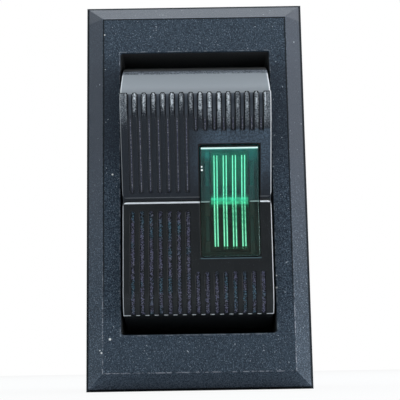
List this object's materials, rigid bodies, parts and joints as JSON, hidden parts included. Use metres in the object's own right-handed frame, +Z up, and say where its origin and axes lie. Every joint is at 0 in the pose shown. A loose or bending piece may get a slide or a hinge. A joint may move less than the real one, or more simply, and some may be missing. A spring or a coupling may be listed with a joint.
{
  "type": "panel rocker switch",
  "caption": "Illuminated snap-in rocker switch: bevelled bezel, concave ribbed rocker with a green window, seesaw contact and blade terminals.",
  "frame": {"origin": "middle of the bezel's rear face, which rests on the panel", "axes": "+X across the switch, +Z up its length, -Y out towards the user, +Y into the panel"},
  "size_m": [0.025, 0.0418, 0.0442],
  "materials": {
    "bezel": "fine grained black-blue moulded plastic",
    "base": "dark moulded thermoset",
    "rocker": "polished black moulded plastic with light scuffs",
    "lens": "tinted green transparent plastic",
    "mask": "black moulded plastic",
    "guide": "bright green light-guiding plastic",
    "plunger": "natural acetal",
    "spring_steel": "drawn spring wire",
    "copper_alloy": "rolled copper alloy",
    "tinned_brass": "rolled brass strip, lightly tarnished",
    "contact_silver": "silver contact rivet",
    "lamp_glass": "clear lamp glass",
    "holder": "light moulded lamp holder"
  },
  "bodies": {
    "housing": {"bezel_housing": "bezel", "terminal_base": "base", "common_terminal": "tinned_brass", "lamp_bulb": "lamp_glass", "lamp_holder": "holder", "upper_fixed_contact": "contact_silver", "upper_throw_terminal": "tinned_brass", "upper_lamp_terminal": "tinned_brass", "lower_fixed_contact": "contact_silver", "lower_throw_terminal": "tinned_brass", "lower_lamp_terminal": "tinned_brass"},
    "rocker": {"rocker": "rocker", "indicator_lens": "lens", "light_mask": "mask", "light_guide": "guide", "plunger_spring": "spring_steel"},
    "plunger": {"plunger": "plunger"},
    "contact_arm": {"contact_arm": "copper_alloy", "upper_moving_contact": "contact_silver", "lower_moving_contact": "contact_silver"}
  },
  "joints": [
    {"name": "rocker_pivot", "type": "hinge", "parent": "housing", "child": "rocker", "pos_m": [0, 0.0046, 0], "axis": [-1, 0, 0], "range_deg": [0, 21]},
    {"name": "arm_rock", "type": "hinge", "parent": "housing", "child": "contact_arm", "pos_m": [-0.0042, 0.01745, 0], "axis": [1, 0, 0], "range_deg": [0, 14.7]},
    {"name": "plunger_slide", "type": "slide", "parent": "rocker", "child": "plunger", "axis": [0, -0.9833, -0.1822], "range_m": [0, 0.001], "stiffness_N_per_m": 250, "springref_m": -0.002, "deforming": ["plunger_spring"]}
  ],
  "couplings": [
    {"joint": "arm_rock", "follows": "rocker_pivot", "ratio": 0.7}
  ]
}
